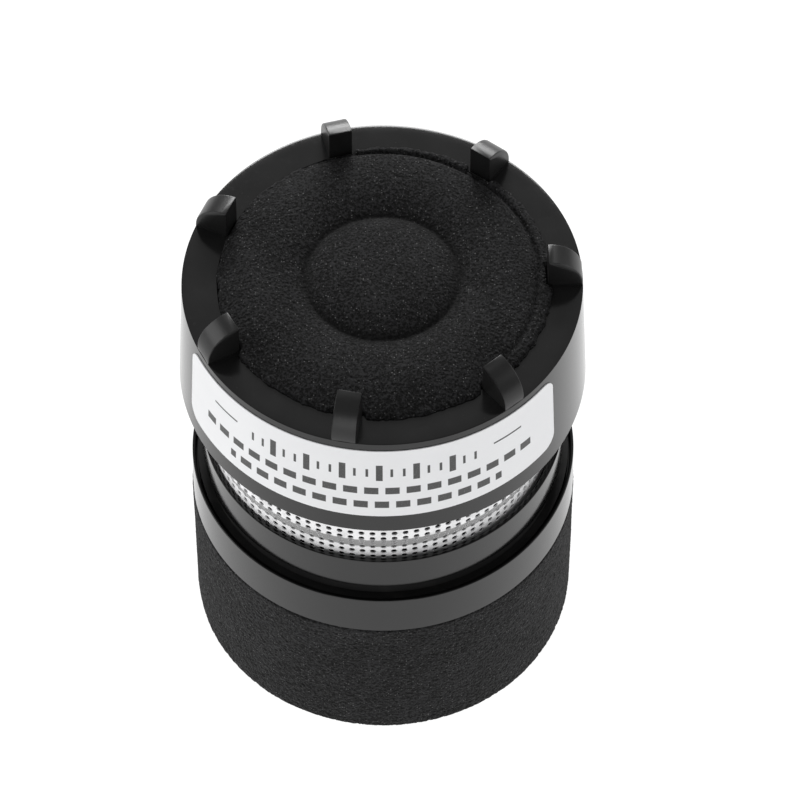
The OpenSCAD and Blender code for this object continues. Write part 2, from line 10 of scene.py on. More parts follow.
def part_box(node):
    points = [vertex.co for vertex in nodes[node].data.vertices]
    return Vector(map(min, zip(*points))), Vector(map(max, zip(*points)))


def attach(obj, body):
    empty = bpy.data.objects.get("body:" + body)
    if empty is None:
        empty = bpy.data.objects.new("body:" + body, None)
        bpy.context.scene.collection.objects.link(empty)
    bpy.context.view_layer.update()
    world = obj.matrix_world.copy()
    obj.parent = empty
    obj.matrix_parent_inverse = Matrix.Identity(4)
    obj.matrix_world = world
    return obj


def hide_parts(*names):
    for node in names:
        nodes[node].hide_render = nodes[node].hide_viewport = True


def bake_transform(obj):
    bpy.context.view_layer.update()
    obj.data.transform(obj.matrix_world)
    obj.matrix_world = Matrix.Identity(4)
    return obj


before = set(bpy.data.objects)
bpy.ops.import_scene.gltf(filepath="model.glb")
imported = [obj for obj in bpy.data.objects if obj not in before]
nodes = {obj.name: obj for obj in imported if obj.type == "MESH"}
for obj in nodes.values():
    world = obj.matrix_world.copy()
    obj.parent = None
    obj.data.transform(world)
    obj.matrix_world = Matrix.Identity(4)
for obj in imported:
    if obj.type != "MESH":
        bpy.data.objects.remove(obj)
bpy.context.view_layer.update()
scene = bpy.context.scene
mm = 0.001
print("frame loaded:", len(nodes), "nodes")


def nodeMm(name):  # a node's lowest and highest corner in millimetres
    low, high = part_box(name)
    return low / mm, high / mm


# where the pieces lie, read from the frame
capLow, capHigh = nodeMm("front_cap")
screenLow, screenHigh = nodeMm("port_screen")
collarLow, collarHigh = nodeMm("collar")
ringLow, ringHigh = nodeMm("mounting_ring")
labelLow, labelHigh = nodeMm("cap_label")
clothLow, clothHigh = nodeMm("acoustic_cloth")
housingHigh = nodeMm("transducer_housing")[1]
sleeveHigh = nodeMm("foam_sleeve")[1]


class Field:  # a socket that takes part in Python's arithmetic

    def __init__(self, graph, socket):
        self.graph = graph
        self.socket = socket

    def maths(self, operation, *others):
        values = dict(enumerate([self, *others]))
        return self.graph.add("ShaderNodeMath", {"operation": operation}, values)

    def flipped(self, operation, other):
        return self.graph.add("ShaderNodeMath", {"operation": operation}, {0: other, 1: self})

    def __add__(self, other):
        return self.maths("ADD", other)

    def __radd__(self, other):
        return self.flipped("ADD", other)

    def __sub__(self, other):
        return self.maths("SUBTRACT", other)

    def __rsub__(self, other):
        return self.flipped("SUBTRACT", other)

    def __mul__(self, other):
        return self.maths("MULTIPLY", other)

    def __rmul__(self, other):
        return self.flipped("MULTIPLY", other)

    def __truediv__(self, other):
        return self.maths("DIVIDE", other)

    def __pow__(self, other):
        return self.maths("POWER", other)

    def __abs__(self):
        return self.maths("ABSOLUTE")

    def ramp(self, low, high):  # 0 at low and 1 at high, smooth between
        return self.graph.add("ShaderNodeMapRange", {"interpolation_type": "SMOOTHSTEP"},
                              {"Value": self, "From Min": low, "From Max": high})


class Graph:  # one material and its nodes

    def __init__(self, name):
        self.material = bpy.data.materials.new(name)
        self.material.use_nodes = True
        self.tree = self.material.node_tree
        self.shader = self.tree.nodes["Principled BSDF"]

    def add(self, kind, settings=None, inputs=None, out=0):
        node = self.tree.nodes.new(kind)
        for key, value in (settings or {}).items():
            setattr(node, key, value)
        for key, value in (inputs or {}).items():
            self.feed(node.inputs[key], value)
        return Field(self, node.outputs[out])

    def feed(self, socket, value):
        if isinstance(value, Field):
            self.tree.links.new(value.socket, socket)
        elif socket.type == "RGBA":
            socket.default_value = (*value, 1.0)
        else:
            socket.default_value = value

    def place(self):  # the point on the piece, in millimetres
        point = self.add("ShaderNodeTexCoord", out="Object")
        return self.add("ShaderNodeVectorMath", {"operation": "SCALE"},
                        {0: point, "Scale": 1 / mm})

    def axes(self, vector):
        first = self.add("ShaderNodeSeparateXYZ", inputs={0: vector})
        return [Field(self, socket) for socket in first.socket.node.outputs]

    def upward(self):  # 1 on faces that look up, -1 on faces that look down
        return self.axes(self.add("ShaderNodeNewGeometry", out="Normal"))[2]

    def stretched(self, vector, x, y, z):
        return self.add("ShaderNodeVectorMath", {"operation": "MULTIPLY"},
                        {0: vector, 1: (x, y, z)})

    def noise(self, vector, scale, detail=2.0, roughness=0.5):
        return self.add("ShaderNodeTexNoise", inputs={
            "Vector": vector, "Scale": scale, "Detail": detail, "Roughness": roughness})

    def cells(self, vector, scale, out="Distance"):  # its other output is each cell's own colour
        return self.add("ShaderNodeTexVoronoi", inputs={"Vector": vector, "Scale": scale}, out=out)

    def mix(self, factor, first, second):  # two colours, by the Mix node's colour sockets
        return self.add("ShaderNodeMix", {"data_type": "RGBA"},
                        {0: factor, 6: first, 7: second}, out=2)

    def bump(self, height, depthMm, strength=1.0):
        return self.add("ShaderNodeBump", inputs={
            "Height": height, "Distance": depthMm * mm, "Strength": strength})

    def finish(self, sockets):
        for key, value in sockets.items():
            self.feed(self.shader.inputs[key], value)
        return self.material


# materials; a scale counts grains in a millimetre, and a pair is the start and end of a ramp

def grey(tone):
    return (tone, tone, tone)


def darker(share, tone):
    return tuple(share * c for c in tone)


plasticLook = {
    "ior": 1.44, "cloudScale": 0.35, "fineScale": 9.0, "grainScale": 28.0, "grainMm": 0.012,
    "scuffScale": 1.6, "scuffFlat": 7.0, "scuffEdge": (0.56, 0.72),
    "dust": 0.05, "dustColour": (0.55, 0.53, 0.5), "dustScale": 1.9, "dustSize": (0.075, 0.045),
    "patchScale": 0.8, "patchEdge": (0.48, 0.62), "wallGrain": 0.3, "ledgeShadeTone": 0.002,
}


def mouldedPlastic(name, tone, lighter, roughness, scuffed=0.0, grain=0.35, satinFromZ=None,
                   satin=0.0, shadedLedges=False):
    look = plasticLook
    graph = Graph(name)
    point = graph.place()
    cloud = graph.noise(point, look["cloudScale"], 3.0)
    fine = graph.noise(point, look["fineScale"], 4.0, 0.65)
    grains = graph.noise(point, look["grainScale"], 2.0)
    flat = graph.stretched(point, 1.0, 1.0, look["scuffFlat"])
    scuffs = graph.noise(flat, look["scuffScale"], 5.0, 0.7).ramp(*look["scuffEdge"])
    specks = graph.cells(point, look["dustScale"]).ramp(*look["dustSize"])
    dust = specks * graph.noise(point, look["patchScale"]).ramp(*look["patchEdge"])
    shade = (cloud * 0.6 + fine * 0.4).ramp(0.3, 0.7)
    colour = graph.mix(shade, grey(tone), grey(lighter))
    colour = graph.mix(dust * look["dust"], colour, look["dustColour"])
    rough = roughness + 0.05 * fine + 0.03 * cloud + scuffed * scuffs
    height = fine + 0.35 * grains
    if satinFromZ is not None:  # the top is satin, the wall below it smoother
        top = graph.axes(point)[2].ramp(satinFromZ - 0.1, satinFromZ + 0.3)
        rough = rough + satin * top
        height = height * (look["wallGrain"] + (1 - look["wallGrain"]) * top)
    if shadedLedges:  # painted shade: faces that look up lie in grooves and are painted near black, dust and all
        colour = graph.mix(graph.upward().ramp(0.6, 0.9), colour, grey(look["ledgeShadeTone"]))
    return graph.finish({
        "Base Color": colour, "Roughness": rough, "IOR": look["ior"],
        "Normal": graph.bump(height, look["grainMm"], grain)})


foamLook = {
    "pit": 0.0015, "wall": 0.0215, "glint": 0.16, "roughness": 0.9, "specular": 0.2,
    "poreMm": 0.23, "bumpMm": 0.11, "cloudScale": 0.25, "darkAt": 0.92, "lightAt": 1.28,
    "glintMm": 0.19, "glintEdge": (0.38, 0.10), "glintShare": (0.72, 1.0),
    "valleyShade": 0.62, "valleyShadeMm": 0.75,
}


# dark open pores, with painted shade in the pores and random tone elsewhere, and painted glints on
# some strand ends between them; the last argument is the radius of a ring of painted shade round
# the dome
def openFoam(name, shade, contrast, sheen=0.0, valleyShadeR=None):
    look = foamLook
    graph = Graph(name)
    point = graph.place()
    poreScale, glintScale = 1 / look["poreMm"], 1 / look["glintMm"]
    pore = graph.cells(point, poreScale)
    grain = graph.noise(point, poreScale, 2.0, 0.6)
    fine = graph.noise(point, poreScale * 2, 2.0, 0.6)
    cloud = graph.noise(point, look["cloudScale"], 3.0)
    middle = (look["darkAt"] + look["lightAt"]) / 2
    half = (look["lightAt"] - look["darkAt"]) / 2 / contrast
    # darkest in the pores as painted shade, with random grain and cloud besides
    light = (grain + fine * 0.5 + pore * 0.35 + cloud * 0.3).ramp(middle - half, middle + half)
    pit, wall, end = (shade * look[key] for key in ("pit", "wall", "glint"))
    colour = graph.mix(light, grey(pit), (wall, wall, wall * 1.05))
    # painted glints: bright specks on a share of the strand ends, painted into the colour
    glints = graph.cells(point, glintScale).ramp(*look["glintEdge"])
    cellColour = graph.cells(point, glintScale, out="Color")
    chosen = graph.axes(cellColour)[0].ramp(*look["glintShare"])
    colour = graph.mix(glints * chosen, colour, grey(end))
    if valleyShadeR is not None:
        # painted shade: the colour darkens in a ring where the foam dips into the valley round the
        # dome
        x, y = graph.axes(point)[:2]
        away = abs((x * x + y * y) ** 0.5 - valleyShadeR).ramp(0.0, look["valleyShadeMm"])
        colour = graph.mix(look["valleyShade"] * (1.0 - away), colour, grey(pit))
    return graph.finish({
        "Base Color": colour, "Roughness": look["roughness"],
        "Specular IOR Level": look["specular"], "Sheen Weight": sheen,
        "Normal": graph.bump(grain + 0.6 * pore, look["bumpMm"], 0.8)})


metalLook = {
    "fineScale": 5.0, "streakScale": 1.2, "streakFlat": (0.6, 0.6, 14.0), "dullScale": 0.9,
    "dullPatch": (0.4, 0.75), "dullShade": 0.82, "bumpMm": 0.01, "lookingDown": (-0.12, -0.30),
}


def brightMetal(name, tone, roughness, metallic=1.0, turned=0.0, undersideShade=None):
    look = metalLook
    graph = Graph(name)
    point = graph.place()
    fine = graph.noise(point, look["fineScale"], 3.0, 0.6)
    streak = graph.noise(graph.stretched(point, *look["streakFlat"]), look["streakScale"], 4.0, 0.7)
    dull = graph.noise(point, look["dullScale"], 3.0).ramp(*look["dullPatch"])
    colour = graph.mix(dull, tone, darker(look["dullShade"], tone))
    if undersideShade is not None:  # painted shade: faces that look down are painted greyer
        colour = graph.mix(graph.upward().ramp(*look["lookingDown"]), colour, grey(undersideShade))
    height = fine * 0.4 + streak * turned
    return graph.finish({
        "Base Color": colour, "Metallic": metallic,
        "Roughness": roughness + 0.10 * dull + 0.06 * fine,
        "Normal": graph.bump(height, look["bumpMm"], 0.4)})


clothLook = {"waveMm": 0.16, "gapShade": 0.4, "bumpMm": 0.05}  # threads lie pi waves apart


def wovenCloth(name, tone):
    look = clothLook
    graph = Graph(name)
    x, y = graph.axes(graph.place())[:2]
    weave = abs((x / look["waveMm"]).maths("SINE")) * abs((y / look["waveMm"]).maths("SINE"))
    colour = graph.mix(weave, darker(look["gapShade"], tone), tone)
    return graph.finish({
        "Base Color": colour, "Roughness": 0.9, "Normal": graph.bump(weave, look["bumpMm"], 0.6)})


feltLook = {
    "hairScale": 3.0, "hairFlat": (3.0, 0.7, 1.0), "cloudScale": 0.5, "gapShade": 0.55,
    "sheen": 0.2, "bumpMm": 0.12,
}


def pressedFelt(name, tone):
    look = feltLook
    graph = Graph(name)
    point = graph.place()
    hair = graph.noise(graph.stretched(point, *look["hairFlat"]), look["hairScale"], 5.0, 0.75)
    cloud = graph.noise(point, look["cloudScale"], 2.0)
    light = (hair * 0.7 + cloud * 0.3).ramp(0.35, 0.65)
    colour = graph.mix(light, darker(look["gapShade"], tone), tone)
    return graph.finish({
        "Base Color": colour, "Roughness": 0.95, "Sheen Weight": look["sheen"],
        "Normal": graph.bump(hair, look["bumpMm"], 0.7)})


rubberLook = {
    "clean": (0.004, 0.004, 0.004), "bloomed": (0.0085, 0.0083, 0.008), "fineScale": 7.0,
    "bloomScale": 0.6, "roughness": 0.55, "specular": 0.2, "bumpMm": 0.02,
}


def softRubber(name):
    look = rubberLook
    graph = Graph(name)
    point = graph.place()
    fine = graph.noise(point, look["fineScale"], 3.0)
    bloom = graph.noise(point, look["bloomScale"], 3.0).ramp(0.45, 0.7)
    return graph.finish({
        "Base Color": graph.mix(bloom, look["clean"], look["bloomed"]),
        "Roughness": look["roughness"] + 0.12 * fine, "Specular IOR Level": look["specular"],
        "Normal": graph.bump(fine, look["bumpMm"], 0.4)})


laminateLook = {
    "dark": (0.16, 0.075, 0.03), "light": (0.27, 0.14, 0.06), "fleck": (0.36, 0.22, 0.11),
    "fibreScale": 1.5, "fibreFlat": (4.0, 0.5, 1.0), "fleckScale": 2.4, "roughness": 0.42,
    "bumpMm": 0.02,
}


def brownLaminate(name):
    look = laminateLook
    graph = Graph(name)
    point = graph.place()
    fibre = graph.noise(graph.stretched(point, *look["fibreFlat"]), look["fibreScale"], 4.0, 0.65)
    fleck = graph.cells(point, look["fleckScale"]).ramp(0.12, 0.05)
    colour = graph.mix(fibre.ramp(0.35, 0.65), look["dark"], look["light"])
    colour = graph.mix(fleck * 0.4, colour, look["fleck"])
    return graph.finish({
        "Base Color": colour, "Roughness": look["roughness"] + 0.15 * fibre,
        "Normal": graph.bump(fibre, look["bumpMm"], 0.3)})


filmLook = {
    "deep": (0.62, 0.55, 0.38), "pale": (0.74, 0.68, 0.5), "rippleScale": 1.2, "roughness": 0.18,
    "coat": 0.3,
}


def clearFilm(name):
    look = filmLook
    graph = Graph(name)
    ripple = graph.noise(graph.place(), look["rippleScale"], 3.0)
    return graph.finish({
        "Base Color": graph.mix(ripple, look["deep"], look["pale"]),
        "Roughness": look["roughness"] + 0.1 * ripple, "Coat Weight": look["coat"]})


windingLook = {
    "wireMm": 0.12, "gap": (0.20, 0.07, 0.025), "wire": (0.66, 0.27, 0.10), "metallic": 0.85,
    "roughness": 0.28, "bumpMm": 0.05,
}


def woundCopper(name):
    look = windingLook
    graph = Graph(name)
    height = graph.axes(graph.place())[2]
    turn = abs((height * (math.pi / look["wireMm"])).maths("SINE"))
    return graph.finish({
        "Base Color": graph.mix(turn, look["gap"], look["wire"]), "Metallic": look["metallic"],
        "Roughness": look["roughness"], "Normal": graph.bump(turn, look["bumpMm"], 0.8)})


skinLook = {"fineScale": 4.0, "shade": 0.7, "roughness": 0.33}


def wireSkin(name, tone):
    look = skinLook
    graph = Graph(name)
    fine = graph.noise(graph.place(), look["fineScale"], 3.0)
    return graph.finish({
        "Base Color": graph.mix(fine, darker(look["shade"], tone), tone),
        "Roughness": look["roughness"] + 0.12 * fine})


# materials of the inner pieces; the outer ones are made beside their pieces
housingPlastic = mouldedPlastic("housingPlastic", tone=0.012, lighter=0.02, roughness=0.42)
platedSteel = brightMetal("platedSteel", tone=(0.66, 0.67, 0.68), roughness=0.32, turned=1.0)
magnetMetal = brightMetal("magnetMetal", tone=(0.58, 0.58, 0.58), roughness=0.20)
brassRing = brightMetal("brassRing", tone=(0.78, 0.57, 0.27), roughness=0.28, turned=1.0)
tinnedBrass = brightMetal("tinnedBrass", tone=(0.74, 0.71, 0.64), roughness=0.30)
blackCloth = wovenCloth("blackCloth", tone=(0.008, 0.008, 0.008))
greyFelt = pressedFelt("greyFelt", tone=(0.36, 0.34, 0.30))
blackRubber = softRubber("blackRubber")
laminate = brownLaminate("laminate")
polyesterFilm = clearFilm("polyesterFilm")
copperWinding = woundCopper("copperWinding")
redSkin = wireSkin("redSkin", tone=(0.55, 0.03, 0.02))
blackSkin = wireSkin("blackSkin", tone=(0.03, 0.03, 0.03))
print("materials made")


# tools for making pieces

def makePiece(name, points, faces, material, slot, sharpAngle=32.0, evenFlats=False):
    mesh = bpy.data.meshes.new(name)
    mesh.from_pydata((np.asarray(points, float) * mm).tolist(), [], faces)  # points in millimetres
    tidy = bmesh.new()
    tidy.from_mesh(mesh)
    bmesh.ops.recalc_face_normals(tidy, faces=tidy.faces)
    tidy.to_mesh(mesh)
    tidy.free()
    return addObject(name, mesh, material, sharpAngle, evenFlats)


def addObject(name, mesh, material, sharpAngle=32.0, evenFlats=False):
    mesh.materials.clear()
    mesh.materials.append(material)
    mesh.shade_smooth()
    mesh.set_sharp_from_angle(angle=math.radians(sharpAngle))
    made = bpy.data.objects.new(name, mesh)
    scene.collection.objects.link(made)
    if evenFlats:
        flatten(made)
    return made


def flatten(made):  # wide faces keep their own shading beside narrow rounded edges
    modifier = made.modifiers.new("evenFlats", "WEIGHTED_NORMAL")
    modifier.keep_sharp = True
    modifier.weight = 100


def roundedOutline(corners, steps=5):  # corners are (r, z, rounding)
    made = []
    for k, (r, z, rounding) in enumerate(corners):
        here = Vector((r, z))
        if not rounding:
            made.append((r, z))
            continue
        back = (Vector(corners[k - 1][:2]) - here).normalized()
        ahead = (Vector(corners[(k + 1) % len(corners)][:2]) - here).normalized()
        half = back.angle(ahead) / 2
        centre = here + (back + ahead).normalized() * rounding / math.sin(half)
        start = here + back * rounding / math.tan(half) - centre
        end = here + ahead * rounding / math.tan(half) - centre
        turn = start.angle_signed(end)
        for j in range(steps + 1):
            part = start.copy()
            part.rotate(Matrix.Rotation(-turn * j / steps, 2))
            made.append(tuple(centre + part))
    return made


def neighbours(items):  # each item of a closed row with the one after it
    return list(zip(items, items[1:] + items[:1]))


def spin(outline, count=256, closed=True):  # a solid of revolution; r = 0 stands on the axis
    angles = [2 * math.pi * k / count for k in range(count)]
    points, rows = [], []
    for r, z in outline:
        first = len(points)
        if r < 1e-6:
            points.append((0.0, 0.0, z))
            rows.append([first] * count)
        else:
            points.extend((r * math.cos(a), r * math.sin(a), z) for a in angles)
            rows.append(list(range(first, first + count)))
    faces = []
    for low, high in neighbours(rows) if closed else zip(rows, rows[1:]):
        for (a, b), (c, d) in neighbours(list(zip(low, high))):
            corners = list(dict.fromkeys([a, c, d, b]))
            if len(corners) > 2:  # on the axis a square is a triangle
                faces.append(corners)
    return points, faces


# large numbers that mix a cell's place and a seed into a random number
scatter = {"axes": (73856093, 19349663, 83492791), "seed": 2654435761, "bits": 1274126177}


def lattice(cells, seed):  # a repeatable random number from 0 to 1 for each lattice cell
    mixed = (cells * np.array(scatter["axes"])).sum(-1) + seed * scatter["seed"]
    mixed = (mixed ^ (mixed >> 13)) * scatter["bits"] & 0xFFFFFFFF
    return ((mixed ^ (mixed >> 16)) & 0xFFFF) / 65535.0


def pitsAt(points, size, seed):  # distance to the nearest pore's centre, 0 at the centre
    scaled = points / size
    base = np.floor(scaled).astype(np.int64)
    nearest = np.full(len(points), np.inf)
    for step in itertools.product((-1, 0, 1), repeat=3):
        cell = base + np.array(step)
        centre = cell + np.stack([lattice(cell, seed + k) for k in range(3)], -1)
        nearest = np.minimum(nearest, np.linalg.norm(scaled - centre, axis=1))
    return nearest


def grainAt(points, size, seed):  # smooth noise from 0 to 1
    scaled = points / size
    base = np.floor(scaled).astype(np.int64)
    share = scaled - base
    share = share * share * (3 - 2 * share)
    total = np.zeros(len(points))
    for step in itertools.product((0, 1), repeat=3):
        corner = np.array(step)
        weight = np.prod(np.where(corner, share, 1 - share), axis=1)
        total += weight * lattice(base + corner, seed)
    return total


# camera and light

shot = {
    "distanceMm": 400.0, "elevation": 52.75, "lensMm": 221.1, "sensorMm": 36.0,
    "aimRightMm": 1.40, "aimDownMm": 9.70,
}


def makeCamera(rimCentre):
    tilt = math.radians(shot["elevation"])
    right = Vector((1, 0, 0))
    up = Vector((0, math.sin(tilt), math.cos(tilt)))
    back = Vector((0, -math.cos(tilt), math.sin(tilt)))
    place = rimCentre + back * shot["distanceMm"]
    aim = rimCentre + right * shot["aimRightMm"] - up * shot["aimDownMm"]
    data = bpy.data.cameras.new("camera")
    data.lens = shot["lensMm"]
    data.sensor_width = shot["sensorMm"]
    data.clip_start, data.clip_end = 0.01, 20.0
    camera = bpy.data.objects.new("camera", data)
    camera.location = place * mm
    camera.rotation_euler = (aim - place).to_track_quat("-Z", "Y").to_euler()
    scene.collection.objects.link(camera)
    scene.camera = camera


studio = {
    "lamps": {
        "front": {"place": (-0.10, -0.94, 0.26), "size": 0.7, "power": 2.8},
        "left": {"place": (-0.80, 0.12, 0.45), "size": 0.7, "power": 3.6},
        "right": {"place": (0.80, 0.15, 0.40), "size": 0.7, "power": 1.9},
        "back": {"place": (0.02, 0.90, 0.43), "size": 0.5, "power": 10.5},
        "top": {"place": (0.0, 0.61, 0.80), "size": 0.8, "power": 0.25},
    },
    "aim": (0, 0, 0.02), "sky": 0.27, "floorSize": 6.0, "floor": (0.12, 0.12, 0.12),
    "floorGlow": 0.99,
}


def makeLamps():
    for name, lamp in studio["lamps"].items():
        data = bpy.data.lights.new(name + "Light", "AREA")
        data.shape = "SQUARE"
        data.size = lamp["size"]
        data.energy = lamp["power"]
        light = bpy.data.objects.new(name + "Light", data)
        light.location = lamp["place"]
        aim = Vector(studio["aim"]) - light.location
        light.rotation_euler = aim.to_track_quat("-Z", "Y").to_euler()
        scene.collection.objects.link(light)


def makeSky():
    world = bpy.data.worlds.new("softSky")
    world.use_nodes = True
    background = world.node_tree.nodes["Background"]
    background.inputs["Color"].default_value = (1, 1, 1, 1)
    background.inputs["Strength"].default_value = studio["sky"]
    scene.world = world
    scene.view_settings.view_transform = "Standard"


def makeFloor():
    graph = Graph("paleFloor")
    speckle = graph.noise(graph.place(), 0.05, 2.0)
    tint = graph.mix(speckle, studio["floor"], darker(0.99, studio["floor"]))
    graph.finish({
        "Base Color": tint, "Roughness": 0.9, "Specular IOR Level": 0.1,
        "Emission Color": grey(1), "Emission Strength": studio["floorGlow"]})
    bpy.ops.mesh.primitive_plane_add(size=studio["floorSize"])
    floor = bpy.context.object
    floor.name = "floor"
    floor.data.materials.append(graph.material)


# front cap: skirt, rim, foam seat and slotted floor, with seven claws

capShape = {
    "rimR": 16.35, "seatR": 13.4, "skirtBoreR": 15.55, "boreR": 15.0, "overHousing": 0.2,
    "seatEdge": 0.10, "lowEdge": 0.12, "shoulderW": 0.9, "shoulderH": 0.07,
    "clawCount": 7, "clawStart": 1.7, "clawW": 2.0, "clawH": 3.0, "clawIn": 13.45,
    "clawOut": 16.31, "clawShoulder": 2.8, "clawRoot": 0.5, "clawEdge": 0.11,
    "clawSteps": 11, "clawSharp": 40,
    "spokes": 6, "spokeW": 1.6, "slotIn": 6.45, "slotOut": 11.8, "hubR": 5.25, "slotOver": 1.0,
    "slotSteps": 12, "columns": 288, "sharpAngle": 28.0,
    "look": {"tone": 0.007, "lighter": 0.010, "roughness": 0.08, "scuffed": 0.05, "satin": 0.22},
}
rimZ = capHigh.z - capShape["clawH"]


def rimShoulder():  # the rim's outer edge, wide and shallow
    wide, deep = capShape["shoulderW"], capShape["shoulderH"]
    inner = capShape["rimR"] - wide
    turns = [math.radians(a) for a in (0, 20, 40, 55, 65, 73, 79, 84, 87, 90)]
    return [(inner + wide * math.sin(a), rimZ - deep * (1 - math.cos(a)), 0) for a in turns]


def capBody():
    shape = capShape
    floorZ = clothLow.z
    underZ = housingHigh.z + shape["overHousing"]
    corners = [
        (0, floorZ, 0), (shape["seatR"], floorZ, 0), (shape["seatR"], rimZ, shape["seatEdge"]),
        *rimShoulder(), (capHigh.x, capLow.z, shape["lowEdge"]),
        (shape["skirtBoreR"], capLow.z, shape["lowEdge"]), (shape["skirtBoreR"], screenHigh.z, 0),
        (shape["boreR"], screenHigh.z, 0), (shape["boreR"], underZ, 0), (0, underZ, 0),
    ]
    return spin(roundedOutline(corners), shape["columns"], closed=False)


def clawMesh():  # one claw along +X, all edges slightly rounded
    shape = capShape
    top = capHigh.z
    turnR = shape["clawShoulder"]
    low = rimZ - shape["clawRoot"]
    side = [(shape["clawIn"], low), (shape["clawOut"], low)]
    for a in np.linspace(0, math.pi / 2, shape["clawSteps"]):
        side.append((shape["clawOut"] - turnR + turnR * math.cos(a),
                     top - turnR + turnR * math.sin(a)))
    side.append((shape["clawIn"], top))
    half = shape["clawW"] / 2
    block = bmesh.new()
    near = [block.verts.new((r, -half, z)) for r, z in side]
    far = [block.verts.new((r, half, z)) for r, z in side]
    block.faces.new(near)
    block.faces.new(far[::-1])
    for (a, b), (c, d) in neighbours(list(zip(near, far))):
        block.faces.new([c, a, b, d])
    bmesh.ops.recalc_face_normals(block, faces=block.faces)
    sharp = math.radians(shape["clawSharp"])
    edges = [e for e in block.edges if e.calc_face_angle() > sharp]
    bmesh.ops.bevel(block, geom=edges, offset=shape["clawEdge"], segments=2, profile=0.5,
                    affect="EDGES")
    return block


def slotMesh(inner, outer, start, end):  # a sound opening between two straight spokes
    shape = capShape
    half = shape["spokeW"] / 2
    low, high = housingHigh.z - shape["slotOver"], clothLow.z + shape["slotOver"]
    meetR = half / math.sin(math.pi / shape["spokes"])  # where the two spokes meet
    ring = []
    for radius, order in ((outer, 1), (inner, -1)):
        if radius <= meetR:
            middle = (start + end) / 2
            ring.append((meetR * math.cos(middle), meetR * math.sin(middle)))
            continue
        inset = math.asin(half / radius)
        sweep = np.linspace(start + inset, end - inset, shape["slotSteps"])[::order]
        ring.extend((radius * math.cos(a), radius * math.sin(a)) for a in sweep)
    block = bmesh.new()
    bottom = [block.verts.new((x, y, low)) for x, y in ring]
    lid = [block.verts.new((x, y, high)) for x, y in ring]
    block.faces.new(bottom)
    block.faces.new(lid[::-1])
    for (a, b), (c, d) in neighbours(list(zip(bottom, lid))):
        block.faces.new([a, c, d, b])
    bmesh.ops.recalc_face_normals(block, faces=block.faces)
    return block


def joined(name, parts):  # several bmeshes, with their transforms, as one scratch object in metres
    whole = bmesh.new()
    for part, transform in parts:
        copy = bpy.data.meshes.new("scratch")
        part.to_mesh(copy)
        copy.transform(transform)
        whole.from_mesh(copy)
        bpy.data.meshes.remove(copy)
    mesh = bpy.data.meshes.new(name)
    whole.to_mesh(mesh)
    whole.free()
    mesh.transform(Matrix.Scale(mm, 4))
    made = bpy.data.objects.new(name, mesh)
    scene.collection.objects.link(made)
    return made


def makeCap():
    shape = capShape
    plastic = mouldedPlastic("capPlastic", satinFromZ=rimZ, **shape["look"])
    cap = makePiece("clawedCap", *capBody(), plastic, "cap_plastic", shape["sharpAngle"])
    claw = clawMesh()
    turns = [math.radians(shape["clawStart"] + 360 * k / shape["clawCount"])
             for k in range(shape["clawCount"])]
    claws = joined("claws", [(claw, Matrix.Rotation(a, 4, "Z")) for a in turns])
    step = 2 * math.pi / shape["spokes"]
    slots = []
    for k in range(shape["spokes"]):
        for inner, outer in ((shape["slotIn"], shape["slotOut"]), (0, shape["hubR"])):
            slots.append((slotMesh(inner, outer, k * step, (k + 1) * step), Matrix()))
    openings = joined("openings", slots)
    for operation, tool in (("UNION", claws), ("DIFFERENCE", openings)):
        boolean = cap.modifiers.new(operation.lower(), "BOOLEAN")
        boolean.operation = operation
        boolean.object = tool
        boolean.solver = "EXACT"
    bpy.context.view_layer.update()
    shown = cap.evaluated_get(bpy.context.evaluated_depsgraph_get())
    whole = bpy.data.meshes.new_from_object(shown)
    cap.modifiers.clear()
    cap.data = whole
    whole.shade_smooth()
    whole.set_sharp_from_angle(angle=math.radians(shape["sharpAngle"]))
    flatten(cap)
    bpy.data.objects.remove(claws)
    bpy.data.objects.remove(openings)
    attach(cap, "transducer")
    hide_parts("front_cap")


# label: white film round the skirt, with plain strokes in place of words

labelShape = {
    "facing": -96.25, "wrap": 124.7, "cornerMm": 1.3, "thick": 0.08, "offWall": 0.002,
    "higher": 0.08, "cornerSteps": 9, "columns": 260, "rows": 28, "sharpAngle": 40.0,
}


def wallRadius(z):  # the skirt's tapered wall
    share = (z - capLow.z) / (rimZ - capLow.z)
    return capHigh.x + (capShape["rimR"] - capHigh.x) * share


def makeLabel():
    shape = labelShape
    rows = shape["rows"]
    low, high = labelLow.z, labelHigh.z + shape["higher"]
    middleR = wallRadius((low + high) / 2)
    length = math.radians(shape["wrap"]) * middleR
    start = math.radians(shape["facing"] - shape["wrap"] / 2)
    corner = shape["cornerMm"]
    turns = np.linspace(0, math.pi / 2, shape["cornerSteps"])
    ends = [corner * (1 - math.cos(a)) for a in turns]
    inner = np.linspace(corner, length - corner, shape["columns"])[1:-1]
    along = [*ends, *inner, *(length - e for e in reversed(ends))]
    outline = []
    for u in along:
        intoCorner = max(0.0, corner - min(u, length - u))
        inset = corner - math.sqrt(max(0.0, corner ** 2 - intoCorner ** 2))
        outline.append(np.linspace(low + inset, high - inset, rows + 1))
    points = []
    for lift in (shape["thick"], shape["offWall"]):
        for u, heights in zip(along, outline):
            a = start + u / middleR
            for z in heights:
                r = wallRadius(z) + lift
                points.append((r * math.cos(a), r * math.sin(a), z))
    count = len(along)
    back = count * (rows + 1)  # where the points of the glued side start
    faces = []
    for i in range(count - 1):
        for j in range(rows):
            a = i * (rows + 1) + j
            b = a + rows + 1
            faces.append([a, b, b + 1, a + 1])
            faces.append([back + a, back + a + 1, back + b + 1, back + b])
    for i in range(count - 1):
        for j in (0, rows):
            a = i * (rows + 1) + j
            b = a + rows + 1
            faces.append([a, b, back + b, back + a])
    for i in (0, count - 1):
        for j in range(rows):
            a = i * (rows + 1) + j
            faces.append([a, a + 1, back + a + 1, back + a])
    label = makePiece("wrapLabel", points, faces, labelFilm(middleR), "label", shape["sharpAngle"])
    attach(label, "transducer")
    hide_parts("cap_label")


